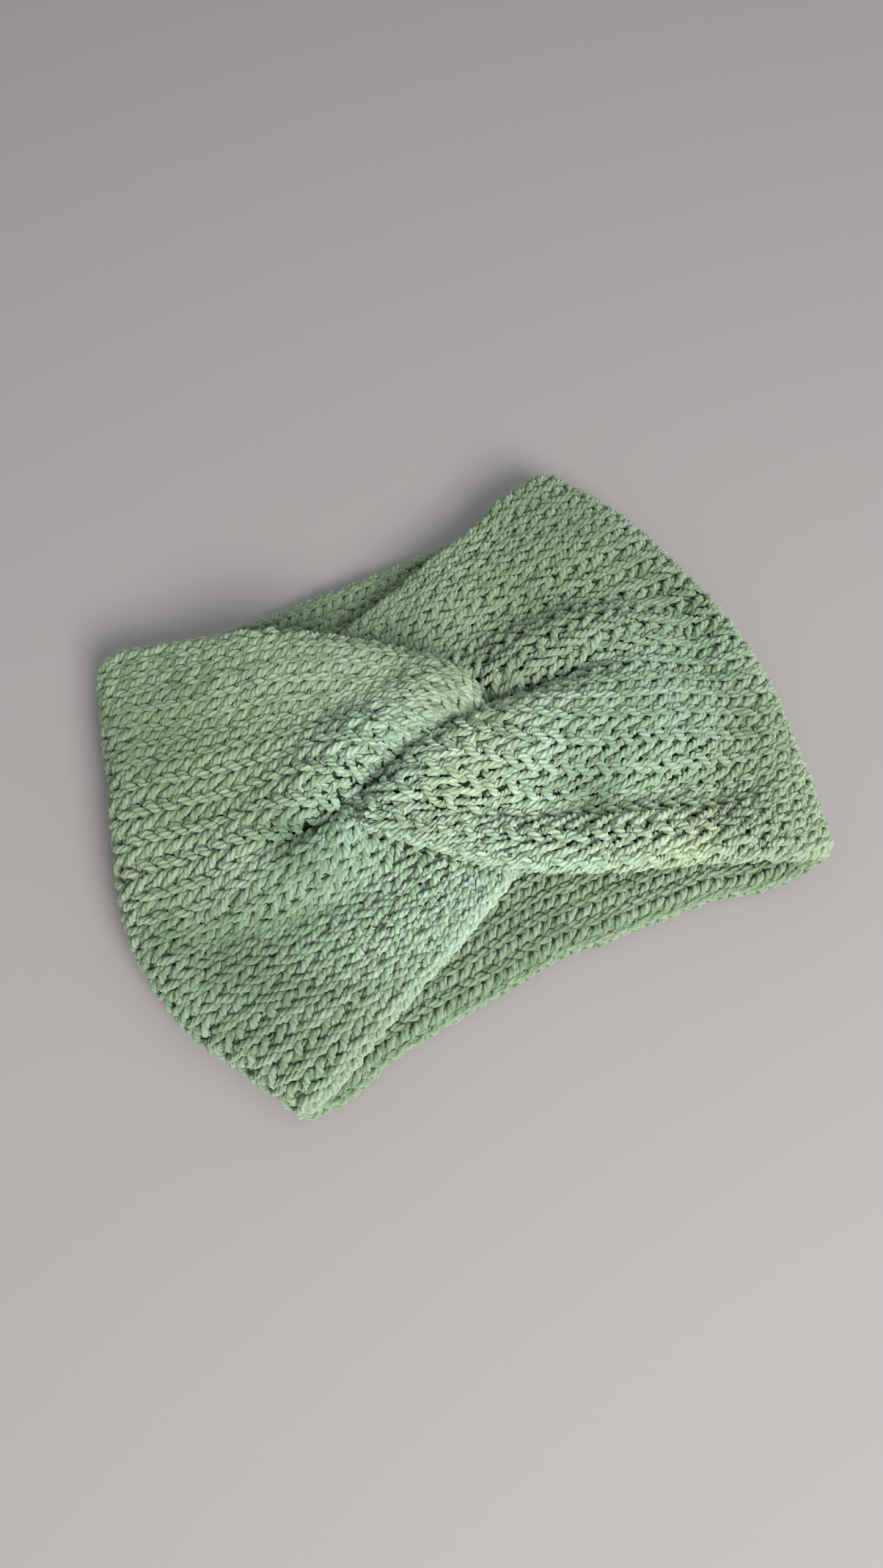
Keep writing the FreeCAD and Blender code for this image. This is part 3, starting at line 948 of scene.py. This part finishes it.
knit = {}
for name, its_runs in runs.items():
    finer, sides, plies = (2, 12, 0.15) if name in FINE else (1, 6, 0.0)
    tubes = []
    for course, first, last in its_runs:
        loop = loops_of(course, first - 1, last + 1)
        points, outward = look_up(loop[:, 0], loop[:, 1])
        placed = points + outward * loop[:, 2:3] * YARN
        per = len(LOOP)
        lead, tail = per - 1, per - 2
        centres = through(placed[lead:len(placed) - tail], finer)[: (last - first) * per * finer + 1]
        facing = unit(through(outward[lead:len(placed) - tail], finer))[: len(centres)]
        place = (course + COURSES_LEFT) * WALES + first + np.arange(len(centres)) / (per * finer)
        radius = YARN * (YARN_LEAST + YARN_SPREAD * np.interp(place, np.arange(len(SHORT)), SHORT))
        tubes.append((centres, facing, radius, tints(centres, place), per * finer))
    knit[name] = tube_mesh(name, tubes, sides, yarn, plies)
    print(name, len(its_runs), "runs", len(knit[name].data.polygons), "faces")


# ---------------------------------------------------------------- painted shade: a dark sheet inside the tube
SHADE_SHEET_STEPS = 90
SHADE_SHEET_HALF = 1.1   # half its thickness


def shade_sheet(name, side, start, stop):
    """A thin closed slab on the middle surface, from start to stop of each wale's own length, coloured as
    painted shade.
    """
    tops, lows = [], []
    counts = RIGHT_COUNT if side > 0 else LEFT_COUNT
    for j in range(0, len(ACROSS), 2):
        run = np.linspace(start(j), stop(j), SHADE_SHEET_STEPS)
        i = (np.interp(run, DENSE_RUN, counts[j]) * side - COURSE_AT[0]) * PER_COURSE
        i0 = np.clip(i.astype(int), 0, len(COURSE_AT) - 2)
        f = (i - i0)[:, None]
        mid = MIDDLE[i0, j] * (1 - f) + MIDDLE[i0 + 1, j] * f
        out = unit(OUT[i0, j] * (1 - f) + OUT[i0 + 1, j] * f)
        tops.append(mid + SHADE_SHEET_HALF * out)
        lows.append(mid - SHADE_SHEET_HALF * out)
    rows, columns = len(tops), SHADE_SHEET_STEPS
    points = np.concatenate([np.array(tops).reshape(-1, 3), np.array(lows).reshape(-1, 3)])
    n = rows * columns

    def at(r, c, layer):
        return layer * n + r * columns + c

    faces = []
    for r in range(rows - 1):
        for c in range(columns - 1):
            quad = (at(r, c, 0), at(r, c + 1, 0), at(r + 1, c + 1, 0), at(r + 1, c, 0))
            faces.append(quad)
            faces.append(tuple(v + n for v in quad[::-1]))
    for c in range(columns - 1):
        faces.append((at(0, c, 1), at(0, c + 1, 1), at(0, c + 1, 0), at(0, c, 0)))
        r = rows - 1
        faces.append((at(r, c, 0), at(r, c + 1, 0), at(r, c + 1, 1), at(r, c, 1)))
    for r in range(rows - 1):
        faces.append((at(r, 0, 0), at(r + 1, 0, 0), at(r + 1, 0, 1), at(r, 0, 1)))
        c = columns - 1
        faces.append((at(r, c, 1), at(r + 1, c, 1), at(r + 1, c, 0), at(r, c, 0)))
    mesh = bpy.data.meshes.new(name)
    mesh.from_pydata((points * MM).tolist(), [], faces)
    mesh.materials.append(inside)
    mesh.validate()
    mesh.polygons.foreach_set("use_smooth", np.ones(len(mesh.polygons), bool))
    obj = bpy.data.objects.new(name, mesh)
    scene.collection.objects.link(obj)
    return obj


back_left = shade_sheet("back_left_shade_sheet", -1, lambda j: 0.0, lambda j: left_marks[j, 1])
back_right = shade_sheet("back_right_shade_sheet", 1, lambda j: 0.0, lambda j: right_marks[j, 1])
left_shade_sheet = shade_sheet("left_half_shade_sheet", -1, lambda j: left_marks[j, 1], lambda j: left_marks[j, 3] - 3)
right_shade_sheet = shade_sheet("right_half_shade_sheet", 1, lambda j: right_marks[j, 1], lambda j: right_marks[j, 3] - 3)


# ---------------------------------------------------------------- inside the knot
STRAND_PLACE = 400      # where along the yarn's waves a strand takes its tints, and its samples to a stitch
STRAND_STEPS = 8.0
STRAND_CELL = 24        # its samples per cell of the bake


def strand(points, radius, fineness=6, out=(0, 0, 1)):
    """A plied strand along a smooth line through points."""
    points = np.array(points, float)
    run = lengths(points)
    line = smooth(run, points, np.linspace(0, run[-1], fineness * (len(points) - 1) + 1))
    outward = np.tile(np.array(out, float), (len(line), 1))
    place = STRAND_PLACE + np.arange(len(line)) / STRAND_STEPS
    return line, outward, np.full(len(line), radius), tints(line, place), STRAND_CELL


KNOT = np.array([-12.0, 3.0])       # its middle, in plan
TILT = math.radians(13.0)           # from +X to the crease
ALONG_KNOT = np.array([math.cos(TILT), math.sin(TILT)])
ACROSS_KNOT = np.array([-ALONG_KNOT[1], ALONG_KNOT[0]])
SEWING = 1.05           # radius of the sewing yarn
SEAM_STITCHES = 7
SEAM_PITCH = 5.6
SEAM_LEAN = math.radians(72)        # from the crease to a stitch
SEAM_STITCH = [(-6.2, 16.4), (-5.6, 15.2), (-2.5, 14.75), (0, 14.7), (2.5, 14.75), (5.6, 15.2), (6.2, 16.4)]
TAIL_AT = np.array([-38.0, -34.0])  # the middle of one woven-in end. The other is across the knot from it
TAIL_HALF = 21.5
TAIL_Z = 14.85
GATHER_HALF = 19.5      # half the length of the gathered ends
GATHER_Z = 18.9
GATHER_YARN = 1.15
GATHER_RINGS = [(6.6, 3.4, 16), (3.6, 1.5, 8)]      # half width, half height and strands


def seam():
    """Overcast stitches, side by side along the crease, on the side that faces the head."""
    lean = TILT + SEAM_LEAN
    across = np.array([math.cos(lean), math.sin(lean)])
    tubes = []
    for i in range(SEAM_STITCHES):
        centre = KNOT + ALONG_KNOT * (i - SEAM_STITCHES // 2) * SEAM_PITCH
        points = []
        for u, lift in SEAM_STITCH:
            plan = centre + across * u + ALONG_KNOT * 0.35 * math.sin(i * 2.1 + u)
            points.append((*plan, lift))
        tubes.append(strand(points, SEWING))
    return tube_mesh("knot_seam", tubes, 12, yarn, 0.2)


def tail(name, sign):
    """A woven-in end of the yarn, wandering a little to both sides and up and down."""
    centre = KNOT + sign * (TAIL_AT - KNOT)
    points = []
    for u in np.linspace(-TAIL_HALF, TAIL_HALF, 15):
        plan = centre + ALONG_KNOT * u + ACROSS_KNOT * 0.6 * math.sin(u * 0.45)
        points.append((*plan, TAIL_Z + 0.35 * math.sin(u * 0.9)))
    return tube_mesh(name, [strand(points, SEWING)], 12, yarn, 0.2)


def gathered_ends():
    """The two ends of the tube, drawn together: a bundle of yarn, narrower towards both ends."""
    tubes = []
    facing = (*ACROSS_KNOT, 0.3)
    for ring, (half_width, half_height, count) in enumerate(GATHER_RINGS):
        for i in range(count):
            turn = 2 * math.pi * (i + 0.5 * ring) / count
            points = []
            for u in np.linspace(-1, 1, 9):
                girth = 0.35 + 0.65 * math.cos(u * math.pi / 2) ** 0.8
                spin = turn + 0.7 * u
                plan = KNOT + ALONG_KNOT * GATHER_HALF * u + ACROSS_KNOT * half_width * girth * math.cos(spin)
                points.append((*plan, GATHER_Z + half_height * girth * math.sin(spin)))
            tubes.append(strand(points, GATHER_YARN, out=facing))
    return tube_mesh("gathered_tube_ends", tubes, 8, yarn)


seam_piece = seam()
cast_on = tail("cast_on_yarn_tail", 1)
bind_off = tail("bind_off_yarn_tail", -1)
gathered = gathered_ends()

# ---------------------------------------------------------------- how it moves, and what stands for what
for name in ("back_outer_knit", "back_inner_knit", "back_top_rim_knit", "back_low_rim_knit", "left_end_knit",
             "left_end_inner_knit", "right_end_knit", "right_end_inner_knit"):
    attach(knit[name], "back")
for piece in (back_left, back_right):
    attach(piece, "back")
LEFT_FRONT = ["upper_left_lobe_knit", "lower_left_wing_knit", "left_half_inner_knit"]
RIGHT_FRONT = ["lower_right_lobe_knit", "upper_right_wing_knit", "right_half_inner_knit"]
for pieces, shade_sheet_piece, side in ((LEFT_FRONT, left_shade_sheet, -1), (RIGHT_FRONT, right_shade_sheet, 1)):
    for piece in [knit[n] for n in pieces] + [shade_sheet_piece]:
        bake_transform(piece)
for piece in (seam_piece, cast_on, bind_off, gathered):
    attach(piece, "front")

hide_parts("back_panel")
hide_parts("left_end_fold")
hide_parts("right_end_fold")
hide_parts("upper_left_lobe", "left_shoulder")
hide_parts("lower_left_wing")
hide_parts("lower_right_lobe", "right_shoulder")
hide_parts("upper_right_wing")
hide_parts("knot_gathered_ends")
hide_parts("knot_seam_stitches")
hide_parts("cast_on_tail")
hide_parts("bind_off_tail")
